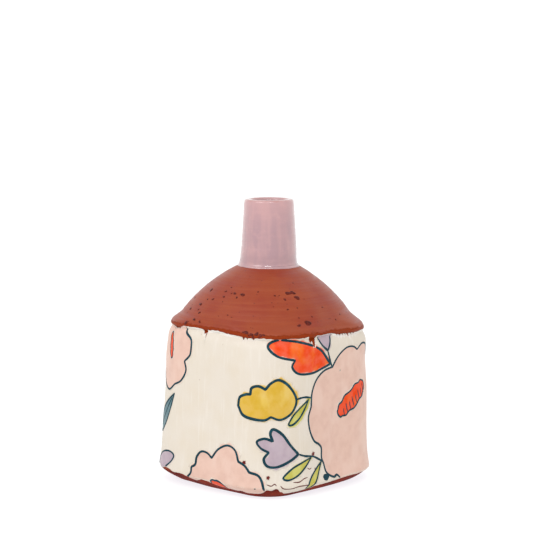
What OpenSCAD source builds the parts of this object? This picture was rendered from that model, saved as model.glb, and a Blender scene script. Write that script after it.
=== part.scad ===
// Ceramic bud vase. A slab-built drum with four soft corners, a thrown shoulder and a thrown neck
// are luted together with coils, then coated: cream slip round the drum, pink glaze on the neck and
// a clear liner inside. Units are millimetres, +Z is up, and the origin is the centre of the foot.
// The drum's soft corners point along X and Y, and its flatter sides face the diagonals.

/* [Drum] */
// Height of the drum wall's outer top edge at its middle, where the shoulder sits
drum_h = 67.5; // [60:0.5:72]
// Slope of that edge in degrees: hand-cut, it falls towards +X
top_slope = 1.9; // [0:0.1:3]
// Centre to soft corner near the drum's top, bare clay
drum_top_r = 43; // [41:0.5:46]
// How far the soft corners flare out at the foot
drum_flare = 3.8; // [2:0.1:6]
// Side-to-corner ratio at the foot: 1 is round, 0.71 is a sharp square
foot_squareness = 0.84; // [0.8:0.01:0.94]
// Side-to-corner ratio at the drum's top
top_squareness = 0.89; // [0.84:0.01:0.95]
// Thickness of the rolled wall slab
wall_t = 5; // [4:0.5:7]
// Thickness of the floor slab that the wall stands on
floor_t = 5.5; // [5.5:0.5:8]
// How far the bevelled lower edge of the foot tucks in under the drum
foot_tuck = 8.5; // [2:0.5:9]
// How far the wall draws in again just below its top edge
top_tuck = 1.8; // [0:0.1:2]

/* [Shoulder] */
// Height of the small flat on top, which the neck stands on
seat_z = 95.2; // [90:0.2:98]
// Radius of that flat
seat_r = 13.9; // [13.9:0.1:16]
// Wall thickness of the shoulder, measured downwards from its outside
shoulder_t = 4.6; // [4:0.2:6]
// How far the lip stands out past the wall's top edge
lip_proud = 1.2; // [0:0.1:1.6]
// Bulge of the shoulder's curve above a straight line
shoulder_bulge = 1.9; // [0.5:0.1:3]

/* [Neck] */
// Height of the finished vase, to the top of the glazed rim
vase_h = 124.5; // [116:0.5:134]
// Clay radius of the neck at its foot
neck_foot_r = 12.3; // [11.4:0.1:12.4]
// Clay radius of the neck below its rim
neck_rim_r = 10.5; // [9.8:0.1:11]
// Radius of the finished, glazed bore that takes a stem
bore_r = 7.7; // [6.5:0.1:8]
// How far the vase leans: the neck's axis stands this far to +X of the foot's centre
lean = 2; // [0:0.1:3]

/* [Coats] */
// Thickness of the slip sheet on the drum
slip_t = 0.5; // [0.3:0.05:0.8]
// Thickness of the pink glaze
glaze_t = 0.4; // [0.3:0.05:0.6]
// Thickness of the clear liner inside
liner_t = 0.35; // [0.2:0.05:0.5]

/* [Hidden] */
corner_steps = 8;
round_fn = 96;
mitre = 1.5;
blend_h = 11;
cove_h = 6.7;
bevel_steps = 4;
slip_low_step = 2;
coil_r = 5;
rim_round = 0.8;
neck_clay_top = vase_h - glaze_t;
clay_bore_r = bore_r + glaze_t;
coil_foot_r = seat_r - 0.6;
coil_top_z = seat_z + 2.4;
top_lower_z = seat_z - 4;

// A ring is [corner radius, side-to-corner ratio, height]. Insetting moves corners and sides alike.
function inset(ring, t) = [ring[0] - t, (ring[0] * ring[1] - t) / (ring[0] - t), ring[2]];
function at_height(ring, z) = [ring[0], ring[1], z];
function down_by(ring, t) = [ring[0], ring[1], ring[2] - t];
function mixed(a, b, share) = a + (b - a) * share;

// How far the drum's outside draws in at height z: under the foot, and again at the top
function tuck(z) = foot_tuck * pow(max(0, 1 - z / floor_t), 1.3)
    + top_tuck * pow(max(0, 1 - (drum_h - z) / 5), 2);

// The drum's bare outside at height z
function drum_ring(z) = inset([
    drum_top_r + drum_flare * pow(max(0, 1 - z / drum_h), 1.5),
    mixed(foot_squareness, top_squareness, min(1, z / drum_h)),
    z
], tuck(z));

// A ring on the foot's bevelled edge, from step 0 on the table up to the floor slab's top
function bevel_ring(step) = drum_ring(floor_t * step / bevel_steps);

// How steeply a ring falls towards +X: all of the slope at the drum's top, none at foot and seat
function slope_at(z) = tan(top_slope) * (z < drum_h
    ? z / drum_h
    : min(1, max(0, (drum_h + blend_h - z) / (blend_h - mitre))));

// Points of a soft square: four arcs whose centres lie on the axes, joined by straight sides.
// Rings shift to +X with height, up to the seat, because the vase leans.
function soft_square(ring) =
    let (side = ring[0] * ring[1],
         arm = (ring[0] - side) / (sqrt(2) - 1),
         arc_r = side - arm,
         reach = arm * sqrt(2),
         shift = lean * ring[2] / seat_z)
    [for (corner = [0:3], step = [0:corner_steps])
        let (turn = 90 * corner + 90 * (step / corner_steps - 0.5),
             x = reach * cos(90 * corner) + arc_r * cos(turn),
             y = reach * sin(90 * corner) + arc_r * sin(turn))
        [x + shift, y, ring[2] - slope_at(ring[2]) * x]];

// Points along an arc from a to b that bulges to the left of the way it goes; ends included
function arc_points(a, b, bulge, steps) =
    [for (i = [0:steps])
        let (share = i / steps,
             way = (b - a) / norm(b - a),
             rise = bulge * 4 * share * (1 - share))
        mixed(a, b, share) + rise * [-way[1], way[0]]];

function reversed(list) = [for (i = [len(list) - 1:-1:0]) list[i]];

// A solid through rings of soft squares. Closed rings make a hoop; otherwise both ends are capped.
module sweep_rings(rings, hoop = false) {
    per_ring = 4 * (corner_steps + 1);
    count = len(rings);
    last = hoop ? count - 1 : count - 2;
    points = [for (ring = rings) each soft_square(ring)];
    sides = [for (i = [0:last], j = [0:per_ring - 1])
        let (low = i * per_ring,
             high = ((i + 1) % count) * per_ring,
             next = (j + 1) % per_ring)
        each [[low + j, high + j, high + next], [low + j, high + next, low + next]]];
    caps = hoop ? [] : [[for (j = [0:per_ring - 1]) j],
                        [for (j = [per_ring - 1:-1:0]) (count - 1) * per_ring + j]];
    polyhedron(points, concat(sides, caps), convexity = 6);
}

// The mitred joint between wall and shoulder, at a distance in from the wall's outside
function on_mitre(in) = at_height(inset(drum_ring(drum_h), in), drum_h + mitre * in / wall_t);

// Shoulder outside, from the joint with the wall up to the seat
lip_ring = inset(drum_ring(drum_h), -lip_proud);
shoulder_outside = concat(
    [on_mitre(0),
     at_height(lip_ring, drum_h + 1.2),
     at_height(inset(lip_ring, 0.1), drum_h + 2.2),
     at_height(inset(lip_ring, 0.8), drum_h + 3.4),
     [lip_ring[0] - 2.7, top_squareness + 0.03, drum_h + 4.8]],
    [for (p = arc_points([lip_ring[0] - 5, drum_h + cove_h], [seat_r, seat_z], -shoulder_bulge, 9))
        [p[0], mixed(0.95, 0.985, (p[1] - drum_h - cove_h) / (seat_z - drum_h - cove_h)), p[1]]]);

// Shoulder underside, from the flat under the seat down to the joint
shoulder_inside = concat(
    [[clay_bore_r - 2, 0.985, top_lower_z], [clay_bore_r + 3.5, 0.985, top_lower_z]],
    [for (p = arc_points([clay_bore_r + 6, top_lower_z - 1.2],
                         [drum_top_r - wall_t - 3, drum_h + cove_h - shoulder_t], shoulder_bulge, 7))
        [p[0], mixed(top_squareness - 0.02, 0.985, (p[1] - drum_h) / (top_lower_z - drum_h)), p[1]]],
    [on_mitre(wall_t)]);

// Heights of the rings up the wall's outside
wall_heights = [floor_t, 12, 20, 30, 40, 50, drum_h - 5, drum_h - 3, drum_h - 1.5, drum_h];

// Wall inside, from the floor to just below the joint
wall_inside = [for (z = [floor_t, 14, 24, 36, 48, drum_h - 8]) inset(drum_ring(z), wall_t)];

// The rounded corner that a coil leaves between floor and wall
floor_corner = inset(drum_ring(floor_t), wall_t);
floor_coil_curve = [for (step = [0:4])
    let (turn = 90 * step / 4, in = coil_r * (1 - sin(turn)), up = coil_r * (1 - cos(turn)))
    at_height(inset(inset(drum_ring(floor_t + up), wall_t), in), floor_t + up)];

// The chamfer that a coil leaves between wall and shoulder
shoulder_coil_low = inset(drum_ring(drum_h - 8), wall_t);
shoulder_coil_high = shoulder_inside[len(shoulder_inside) - 2];

function neck_r(z) = mixed(neck_foot_r, neck_rim_r, (z - seat_z) / (neck_clay_top - seat_z));

// Quarter circles over the rim, from inside to outside, for clay (grow = 0) or glaze
function rim_points(grow) =
    let (outer = neck_r(neck_clay_top), r = rim_round + grow, c = clay_bore_r + rim_round)
    concat(
        [for (turn = [180:-18:90]) [c + r * cos(turn), neck_clay_top - rim_round + r * sin(turn)]],
        [for (turn = [90:-18:0])
            [outer - rim_round + r * cos(turn), neck_clay_top - rim_round + r * sin(turn)]]);

// The hollow curve of the neck's luting coil, from the neck down to the seat
coil_curve = arc_points([neck_r(coil_top_z), coil_top_z], [coil_foot_r, seat_z], -0.25, 5);

// The disc that the wall stands on; its bare lower edge shows below the slip
module floor_slab() {
    color([0.42, 0.17, 0.11]) sweep_rings([for (step = [0:bevel_steps]) bevel_ring(step)]);
}

// The coil pressed into the corner between floor and wall, inside
module floor_seam_coil() {
    color([0.60, 0.30, 0.20]) sweep_rings(concat([floor_corner], reversed(floor_coil_curve)), hoop = true);
}

// The rolled slab, bent into a drum; its top is mitred up to the inside
module wall_slab() {
    outside = [for (z = reversed(wall_heights)) drum_ring(z)];
    color([0.58, 0.27, 0.17])
        sweep_rings(reversed(concat(outside, wall_inside, [on_mitre(wall_t)])), hoop = true);
}

// The coil smoothed over the seam between wall and shoulder, inside
module shoulder_seam_coil() {
    color([0.60, 0.30, 0.20])
        sweep_rings([shoulder_coil_low, on_mitre(wall_t), shoulder_coil_high], hoop = true);
}

// The thrown shoulder, with its lip below and the neck's seat and a round hole on top
module shoulder_dome() {
    hub = [clay_bore_r - 2, 0.985, seat_z];
    color([0.66, 0.33, 0.21]) difference() {
        sweep_rings(concat(shoulder_outside, [hub], shoulder_inside), hoop = true);
        translate([lean, 0, top_lower_z - 1])
            cylinder(h = seat_z - top_lower_z + 2, r = clay_bore_r, $fn = round_fn);
    }
}

// The thrown neck, standing on the seat
module neck_tube() {
    color([0.62, 0.33, 0.24]) translate([lean, 0, 0]) rotate_extrude($fn = round_fn)
        polygon(concat([[clay_bore_r, seat_z]], rim_points(0), [[neck_foot_r, seat_z]]));
}

// The coil blended round the neck's foot, which gives it its flare
module neck_foot_coil() {
    color([0.62, 0.33, 0.24]) translate([lean, 0, 0]) rotate_extrude($fn = round_fn)
        polygon(concat(coil_curve, [[neck_foot_r, seat_z]]));
}

// The cream slip sheet, wrapped round the wall and the floor's edge
module slip_sheet() {
    edge = [for (step = [slip_low_step:bevel_steps - 1]) bevel_ring(step)];
    low_to_high = concat(edge, [for (z = wall_heights) drum_ring(z)]);
    outside = [for (ring = low_to_high) inset(ring, -slip_t)];
    color([0.93, 0.88, 0.81]) sweep_rings(concat(outside, reversed(low_to_high)), hoop = true);
}

// The pink glaze, over the neck and its coil, round the rim and down the bore
module neck_glaze() {
    outside = [for (p = coil_curve) p + [glaze_t + 0.1, 0]];
    color([0.83, 0.66, 0.67]) translate([lean, 0, 0]) rotate_extrude($fn = round_fn)
        polygon(concat(
            [[bore_r, top_lower_z]],
            rim_points(glaze_t),
            [[neck_r(coil_top_z + 1) + glaze_t, coil_top_z + 1]],
            [for (i = [1:len(outside) - 1]) outside[i]],
            reversed(coil_curve),
            reversed(rim_points(0)),
            [[clay_bore_r, top_lower_z]]));
}

// The clear liner that makes the inside hold water
module liner_glaze() {
    clay = concat(
        floor_coil_curve,
        [for (i = [1:len(wall_inside) - 1]) wall_inside[i]],
        [for (i = [len(shoulder_inside) - 2:-1:1]) shoulder_inside[i]]);
    hole_edge = [clay_bore_r + 0.3, 0.985, top_lower_z];
    glass = concat(
        [at_height(inset(clay[0], liner_t), floor_t + liner_t)],
        [for (i = [1:len(clay) - 4]) inset(clay[i], liner_t)],
        [for (i = [len(clay) - 3:len(clay) - 1]) down_by(inset(clay[i], liner_t / 2), liner_t)]);
    color([0.72, 0.44, 0.30]) sweep_rings(concat(
        clay, [hole_edge, down_by(hole_edge, liner_t)], reversed(glass)));
}

floor_slab();
floor_seam_coil();
wall_slab();
shoulder_seam_coil();
shoulder_dome();
neck_tube();
neck_foot_coil();
slip_sheet();
neck_glaze();
liner_glaze();
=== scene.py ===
"""Looks of the ceramic bud vase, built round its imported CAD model.

Every piece is worked out in millimetres on an even shape, and hand_made() then gives it the lean,
the slope of the drum's top and the small unevenness of hand work. "turn" is the angle round the
axis in radians from +X, and "along" is the distance in millimetres round the drum from its front
soft corner, at -Y, towards +X.
"""

import itertools
import math

import bpy
import numpy as np
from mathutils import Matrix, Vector


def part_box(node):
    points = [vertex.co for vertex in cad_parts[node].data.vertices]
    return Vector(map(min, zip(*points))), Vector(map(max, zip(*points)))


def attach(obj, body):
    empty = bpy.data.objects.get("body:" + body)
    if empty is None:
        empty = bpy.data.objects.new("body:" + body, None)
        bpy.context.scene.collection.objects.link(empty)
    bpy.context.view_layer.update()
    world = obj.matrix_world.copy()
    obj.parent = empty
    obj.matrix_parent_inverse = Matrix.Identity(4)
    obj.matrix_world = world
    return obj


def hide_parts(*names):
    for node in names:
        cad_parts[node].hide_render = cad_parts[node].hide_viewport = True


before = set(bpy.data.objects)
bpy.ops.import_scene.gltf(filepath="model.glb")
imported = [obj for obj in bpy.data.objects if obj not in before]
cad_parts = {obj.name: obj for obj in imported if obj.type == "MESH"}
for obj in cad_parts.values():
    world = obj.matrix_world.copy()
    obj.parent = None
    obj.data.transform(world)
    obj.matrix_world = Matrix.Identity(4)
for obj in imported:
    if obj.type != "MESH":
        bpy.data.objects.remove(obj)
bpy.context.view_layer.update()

MM = 0.001
SQRT2 = math.sqrt(2)
FRONT = -math.pi / 2


# ---- sizes

def cad_mm(node, corner, axis):
    """One number of a CAD node's box, in millimetres; corner 0 is the lowest and 1 the highest."""
    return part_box(node)[corner][axis] / MM


LEAN = (cad_mm("neck_tube", 0, 0) + cad_mm("neck_tube", 1, 0)) / 2
SEAT_Z = cad_mm("neck_tube", 0, 2)
VASE_H = cad_mm("neck_glaze", 1, 2)
DRUM_H = 67.5
DRUM_TOP_R = 43.0
DRUM_FLARE = 3.8
FOOT_SQUARENESS = 0.84
TOP_SQUARENESS = 0.89
TOP_SLOPE = math.tan(math.radians(1.9))
BLEND_H = 11.0
COVE_H = 6.7
MITRE = 1.5
FLOOR_T = 5.5
WALL_T = 5.0
FOOT_TUCK = 8.5
TOP_TUCK = 1.8
TOP_TUCK_H = 5
LIP_PROUD = 1.2
LIP_RISE = (0, 1.2, 2.2, 3.4)
LIP_OUT = (0, LIP_PROUD, LIP_PROUD - 0.1, LIP_PROUD - 0.8)
SHOULDER_BULGE = 1.9
SLIP_T = 0.5
GLAZE_T = 0.4
BORE_R = 7.7
NECK_FOOT_R = 12.3
NECK_RIM_R = 10.5
SEAT_R = 13.4
COIL_H = 2.4
RIM_ROUND = 0.8
TOP_LOWER_Z = SEAT_Z - 4
COIL_TOP_Z = SEAT_Z + COIL_H
NECK_TOP_Z = VASE_H - GLAZE_T
CLAY_BORE_R = BORE_R + GLAZE_T
COIL_BULGE = 0.25
SHOULDER_T = 4.6
FLOOR_COIL_R = 5
SHOULDER_COIL_H = 8
THROW_DEPTH = 0.06
SUNK = 0.12
GIRTH_Z = 34
LINER_T = 0.3
NECK_UNDER = [CLAY_BORE_R + 3.5, CLAY_BORE_R + 3.4, TOP_LOWER_Z]


# ---- shape

def smooth(low, high, value):
    """0 below low, 1 above high, and an even turn between them."""
    share = np.clip((value - low) / (high - low), 0, 1)
    return share * share * (3 - 2 * share)


def waves(value, seed, octaves=4):
    """Smooth, repeatable unevenness between about -1 and 1, once round for 2 pi."""
    rng = np.random.default_rng(seed)
    total = 0
    for octave in range(octaves):
        for _ in range(2):
            turns = rng.integers(2 ** octave, 2 ** (octave + 1) + 1)
            total = total + np.sin(turns * value + rng.uniform(0, 2 * math.pi)) / 1.6 ** octave
    return total / 3.2


def soft_square(corner, side, turn):
    """Distance from the axis to the edge of a soft square whose corners lie on the axes."""
    from_corner = np.abs((turn + math.pi / 4) % (math.pi / 2) - math.pi / 4)
    arm = (corner - side) / (SQRT2 - 1)
    arc_r = side - arm
    reach = arm * SQRT2
    arc_end = np.arctan2(arc_r / SQRT2, reach + arc_r / SQRT2)
    on_arc = reach * np.cos(from_corner) + np.sqrt(
        np.maximum(arc_r ** 2 - (reach * np.sin(from_corner)) ** 2, 0))
    on_side = side / np.cos(math.pi / 4 - from_corner)
    return np.where(from_corner < arc_end, on_arc, on_side)


def tuck(z):
    """How far the drum draws in at height z: under the foot, and again just below its top."""
    under = np.clip(1 - z / FLOOR_T, 0, 1) ** 1.3
    return FOOT_TUCK * under + TOP_TUCK * np.maximum(0, 1 - (DRUM_H - z) / TOP_TUCK_H) ** 2


def drum_reach(z, inset=0.0):
    """Distances from the axis to the drum's soft corners and to its sides, in bare clay.

    Above the drum's top they follow the lower half of the shoulder's lip.
    """
    corner = DRUM_TOP_R + DRUM_FLARE * np.maximum(0, 1 - z / DRUM_H) ** 1.5
    squareness = FOOT_SQUARENESS + (TOP_SQUARENESS - FOOT_SQUARENESS) * np.minimum(1, z / DRUM_H)
    draw = tuck(np.minimum(z, DRUM_H)) + inset - np.interp(z - DRUM_H, LIP_RISE, LIP_OUT)
    return corner - draw, corner * squareness - draw


def drum_radius(turn, z, out=0.0):
    """The drum's bare clay outside, moved out by a distance in millimetres."""
    corner, side = drum_reach(z, -out)
    return soft_square(corner, side, turn)


def slope_at(z):
    """The slope towards +X: it grows up the drum and fades out over the shoulder."""
    above = np.clip((DRUM_H + BLEND_H - z) / (BLEND_H - MITRE), 0, 1)
    return TOP_SLOPE * np.where(z < DRUM_H, z / DRUM_H, above)


# Unevenness all round, as (millimetres, times round, start, climb).
UNEVEN = ((0.34, 2, 0.6, 40), (0.24, 3, 2.1, -23), (0.13, 5, 1.0, 15), (0.07, 9, 0.4, -9))
UNEVEN_R = 44
# Sway towards +X, as (millimetres, heights over which it comes in, heights over which it goes out).
SWAY = ((0.7, 54, 64, 68, 76), (0.4, 2, 14, 40, 60), (-0.4, 72, 80, 90, 98))
NECK_SWAY = 0.4
BOW = 0.08
BOW_H = 66
TOP_WAVE = 0.6
# The foot: how far its side corners curl up, and where the vase is fuller and slimmer above it.
FOOT_UNEVEN_H = 13
CURL = 0.45
CURL_MORE_LEFT = 0.35
FULLER = 4.0
FULLER_TURN = -0.66
FULLER_SPAN = 0.6
SLIMMER = 0.9


def hand_made(points):
    """Lean, slope, sway and unevenness for points in millimetres, as an array of (..., 3)."""
    x, y, z = points[..., 0], points[..., 1], points[..., 2]
    turn = np.arctan2(y, x)
    radius = np.hypot(x, y)
    uneven = 0
    for size, times, start, climb in UNEVEN:
        uneven = uneven + size * np.sin(times * turn + start + z / climb)
    free = smooth(0, 10, z) * (1 - smooth(SEAT_Z - 14, SEAT_Z, z))
    grow = 1 + free * uneven * np.minimum(radius, UNEVEN_R) / UNEVEN_R / np.maximum(radius, 1)
    bow = np.cos(2 * math.pi * (z - BOW_H) / BOW_H) - 1
    sway = BOW * bow * smooth(0, 12, z) * (1 - smooth(84, 95, z))
    for size, in_low, in_high, out_low, out_high in SWAY:
        sway = sway + size * smooth(in_low, in_high, z) * (1 - smooth(out_low, out_high, z))
    sway = sway + NECK_SWAY * smooth(94, 106, z)
    wavy = TOP_WAVE * (1 - np.cos(4 * turn)) * slope_at(z) / TOP_SLOPE
    low = 1 - smooth(0, FOOT_UNEVEN_H, z)
    curl = (CURL - CURL_MORE_LEFT * np.cos(turn)) * smooth(0.72, 1, np.abs(np.cos(turn)))
    curl = curl * low * smooth(24, 38, radius)
    fuller = FULLER * low * np.exp(-((turn - FULLER_TURN) / FULLER_SPAN) ** 2)
    slimmer = SLIMMER * smooth(0, 5, z) * (1 - smooth(14, 46, z)) * smooth(0.4, 1, np.cos(turn))
    grow = grow + (fuller - slimmer) * smooth(20, 36, radius) / 40
    return np.stack([x * grow + LEAN * np.clip(z / SEAT_Z, 0, 1) + sway, y * grow,
                     z - slope_at(z) * x + wavy * np.minimum(radius, 43) / 43 + curl], axis=-1)


# ---- meshes

def linked(name, data):
    """A new object, put in the scene."""
    thing = bpy.data.objects.new(name, data)
    bpy.context.collection.objects.link(thing)
    return thing


def add_object(name, points, faces, material):
    """A mesh piece from points in millimetres, which rides on the vase's one body."""
    mesh = bpy.data.meshes.new(name)
    mesh.from_pydata((np.asarray(points) * MM).tolist(), [], faces)
    mesh.validate()
    mesh.update()
    mesh.polygons.foreach_set("use_smooth", [True] * len(mesh.polygons))
    mesh.materials.append(material)
    piece = linked(name, mesh)
    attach(piece, "root")
    return piece


def strip_faces(rows, columns, joined):
    """Quads over a grid whose columns go round; its last row meets its first where it is joined.

    They face out when the columns run anticlockwise and the rows go up.
    """
    row, column = np.meshgrid(np.arange(rows if joined else rows - 1), np.arange(columns), indexing="ij")
    next_row, next_column = (row + 1) % rows, (column + 1) % columns
    quads = np.stack([row * columns + column, row * columns + next_column,
                      next_row * columns + next_column, next_row * columns + column], axis=-1)
    return quads.reshape(-1, 4).tolist()


def end_faces(rows, columns):
    """The flat ends of a grid that is open at its first and last rows."""
    last = (rows - 1) * columns
    return [list(range(columns))[::-1], list(range(last, last + columns))]


def hoop(name, rings, material):
    """A closed piece from an array of rings (rows, columns, 3), joined all the way round."""
    faces = strip_faces(*rings.shape[:2], True)
    return add_object(name, hand_made(rings).reshape(-1, 3), faces, material)


def capped(name, rings, material):
    """A closed piece from rings whose first and last are drawn together to a point."""
    rows, columns = rings.shape[:2]
    points = hand_made(rings).reshape(-1, 3)
    faces = strip_faces(rows, columns, False)
    low, high = len(points), len(points) + 1
    points = np.vstack([points, points[:columns].mean(axis=0), points[-columns:].mean(axis=0)])
    top = (rows - 1) * columns
    for column in range(columns):
        following = (column + 1) % columns
        faces.append([low, following, column])
        faces.append([high, top + column, top + following])
    return add_object(name, points, faces, material)


def ring_points(turn, radius, z):
    """Rings of points from matching arrays of angle, radius and height."""
    turn, radius, z = np.broadcast_arrays(turn, radius, z)
    return np.stack([radius * np.cos(turn), radius * np.sin(turn), z], axis=-1).astype(float)


def smooth_line(points, steps):
    """A smooth line through the points, with even steps between each two of them."""
    points = np.asarray(points, float)
    ends = np.vstack([2 * points[0] - points[1], points, 2 * points[-1] - points[-2]])
    line = []
    for i in range(len(points) - 1):
        a, b, c, d = ends[i:i + 4]
        for share in np.arange(steps) / steps:
            line.append(0.5 * (2 * b + (c - a) * share + (2 * a - 5 * b + 4 * c - d) * share ** 2
                               + (3 * b - a - 3 * c + d) * share ** 3))
    line.append(points[-1])
    return np.array(line)


# ---- materials

class Paint:
    """One procedural material, built step by step; sizes are in millimetres."""

    def __init__(self, name, roughness, specular=0.5, coat=0.0, coat_roughness=0.1):
        self.material = bpy.data.materials.new(name)
        self.material.use_nodes = True
        self.nodes = self.material.node_tree.nodes
        self.links = self.material.node_tree.links
        self.shader = self.nodes["Principled BSDF"]
        self.put(self.shader, {"Roughness": roughness, "Specular IOR Level": specular,
                               "Coat Weight": coat, "Coat Roughness": coat_roughness})
        self.place = self.nodes.new("ShaderNodeTexCoord").outputs["Object"]

    def put(self, node, values):
        """Sets a node's inputs by name or number; a tuple is a colour, and a socket is linked."""
        for name, value in values.items():
            if isinstance(value, bpy.types.NodeSocket):
                self.links.new(value, node.inputs[name])
            else:
                node.inputs[name].default_value = (*value, 1) if isinstance(value, tuple) else value

    def add(self, kind, values, output, **settings):
        """Adds a node with these settings and inputs, and returns one of its outputs."""
        node = self.nodes.new("ShaderNode" + kind)
        for name, value in settings.items():
            setattr(node, name, value)
        self.put(node, values)
        return node.outputs[output]

    def spot(self, stretch, seed):
        """Object coordinates, shifted by a seed and stretched by a factor along X, Y and Z."""
        return self.add("Mapping", {"Vector": self.place, "Scale": [1 / part for part in stretch],
                                    "Location": [seed * 0.37, seed * 0.61, seed * 0.23]}, "Vector")

    def noise(self, size, seed, stretch=(1, 1, 1), detail=4.0, rough=0.55):
        """Cloudy noise whose blotches are about size millimetres across."""
        return self.add("TexNoise", {"Vector": self.spot(stretch, seed), "Scale": 1 / (size * MM),
                                     "Detail": detail, "Roughness": rough}, "Fac")

    def dots(self, spacing, seed):
        """Distance to the nearest of scattered points, as a share of their spacing."""
        return self.add("TexVoronoi", {"Vector": self.spot((1, 1, 1), seed),
                                       "Scale": 1 / (spacing * MM)}, "Distance")

    def height(self):
        """Height above the table in millimetres."""
        return self.maths("MULTIPLY", self.add("SeparateXYZ", {"Vector": self.place}, "Z"), 1 / MM)

    def attribute(self, name):
        """A number stored on the mesh's points."""
        return self.add("Attribute", {}, "Fac", attribute_name=name)

    def maths(self, operation, first, second):
        """The two values, added or multiplied."""
        return self.add("Math", {0: first, 1: second}, "Value", operation=operation)

    def between(self, value, low, high, to_low=0.0, to_high=1.0):
        """Turns low..high into to_low..to_high with soft ends."""
        return self.add("MapRange", {"Value": value, "From Min": low, "From Max": high, "To Min": to_low,
                                     "To Max": to_high}, "Result", interpolation_type="SMOOTHSTEP")

    def mixed(self, share, first, second):
        """Colour that goes from first to second as share goes from 0 to 1."""
        return self.add("Mix", {"Factor": share, "A": first, "B": second}, "Result", data_type="RGBA")

    def over(self, base, colour, value, low, high, most=1.0):
        """Lays a colour over the base: none of it at low, and a share of most at high."""
        return self.mixed(self.between(value, low, high, 0, most), base, colour)

    def roughness(self, value, low, high):
        """Makes the surface as rough as low where value is small, and as high where it is large."""
        self.put(self.shader, {"Roughness": self.between(value, 0.3, 0.7, low, high)})

    def finished(self, colour, *layers):
        """The material in this colour, with relief from (value, depth in millimetres) layers."""
        relief = {"Strength": 1.0}
        for value, depth in layers:
            relief.update({"Height": value, "Distance": depth * MM})
            relief["Normal"] = self.add("Bump", relief, "Normal")
        self.put(self.shader, {"Base Color": colour, "Normal": relief["Normal"]})
        return self.material


def srgb(red, green, blue):
    """A colour given as 0..255 screen values, as Blender's linear numbers."""
    shares = [part / 255 for part in (red, green, blue)]
    return tuple(part / 12.92 if part <= 0.04045 else ((part + 0.055) / 1.055) ** 2.4 for part in shares)


def shaded(colour, factor):
    """The same colour, darker."""
    return tuple(part * factor for part in colour)


LIGHT = 0.79
GLOSS = 0.035


def shown(red, green, blue):
    """Base colour of a surface that shows these 0..255 screen values under a faint white gloss."""
    return tuple(max(0.003, part - GLOSS) * LIGHT for part in srgb(red, green, blue))


CREAM = shown(234, 224, 211)
CREAM_WARM = shown(231, 219, 202)
CREAM_PALE = shown(244, 236, 226)
CREAM_TORN = shown(252, 249, 245)
CREAM_GRAIN = shown(150, 124, 108)
CLAY = shown(162, 79, 46)
CLAY_DEEP = shown(152, 66, 40)
CLAY_PALE = shown(174, 92, 64)
CLAY_DARK = shown(108, 42, 30)
CLAY_EDGE = shown(152, 74, 46)
CLAY_CHIPPED = shown(116, 38, 20)
FOOT_CLAY = shown(150, 68, 52)
GLAZE = shown(200, 158, 160)
GLAZE_PALE = shown(216, 168, 167)
GLAZE_DEEP = shown(186, 149, 155)
LINE = (0.004, 0.034, 0.050)
LINE_THIN = (0.010, 0.065, 0.090)
IRON = (0.060, 0.008, 0.006)
IRON_PALE = (0.150, 0.018, 0.010)
SHEEN_TINT = (0.72, 0.86, 1.0)
# Underglaze colours, each with the tone it is mottled with.
WASHES = {
    "pink": (shown(236, 198, 182), shown(239, 205, 190)),
    "orange": (shown(249, 88, 24), shown(250, 120, 40)),
    "yellow": (shown(226, 183, 70), shown(234, 200, 104)),
    "lilac": (shown(190, 171, 183), shown(198, 181, 191)),
    "green": (shown(202, 194, 88), shown(216, 212, 122)),
    "teal": (shown(96, 131, 140), shown(126, 154, 160)),
}
WASH_GLOSS = {"orange": 0.06, "chip": 0.06, "crack": 0.06}
WASH_SEED = 70


def terracotta_paint():
    """Thrown and slab-rolled red clay: streaked along the throwing lines, with fine iron grains."""
    paint = Paint("terracotta", 0.5, specular=0.35)
    blotch = paint.noise(14, 1, detail=2)
    streak = paint.noise(6, 2, stretch=(5, 5, 0.3), detail=5)
    grain = paint.noise(0.5, 3, detail=2)
    ragged = paint.noise(2.6, 6, stretch=(1.6, 1.6, 0.7), detail=6, rough=0.7)
    base = paint.over(CLAY, CLAY_DEEP, blotch, 0.35, 0.7, 0.7)
    base = paint.over(base, CLAY_PALE, streak, 0.42, 0.7, 0.4)
    base = paint.over(base, CLAY_DARK, grain, 0.62, 0.8, 0.35)
    base = paint.mixed(paint.between(paint.dots(3.4, 4), 0.04, 0.11, 0.7, 0), base, CLAY_DARK)
    # Where dark is high, on the lip's roll and the wall just below it, the clay is painted a little darker
    # and less glossy: partly its own darker edge, partly painted shade under the lip.
    dark = paint.maths("ADD", paint.attribute("dark"), paint.maths("MULTIPLY", ragged, 1.6))
    base = paint.over(base, CLAY_EDGE, dark, 1.16, 1.42, 0.85)
    paint.put(paint.shader, {"Specular IOR Level": paint.between(dark, 1.1, 1.36, 0.36, 0.08),
                             "Sheen Weight": paint.between(dark, 1.1, 1.36, 0.1, 0),
                             "Sheen Roughness": 0.35, "Sheen Tint": SHEEN_TINT})
    paint.roughness(streak, 0.34, 0.5)
    return paint.finished(base, (streak, 0.06), (grain, 0.05), (paint.between(dark, 1.22, 1.4), -0.15))


def bare_clay_paint():
    """The unglazed foot: dark and matt, with darker blotches and paler grains."""
    paint = Paint("bare_clay", 0.85, specular=0.15)
    blotch = paint.noise(7, 11)
    grain = paint.noise(0.45, 12, detail=3)
    base = paint.over(FOOT_CLAY, CLAY_DARK, blotch, 0.3, 0.7)
    base = paint.over(base, CLAY, grain, 0.55, 0.75, 0.4)
    return paint.finished(base, (blotch, 0.2), (grain, 0.12))


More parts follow.
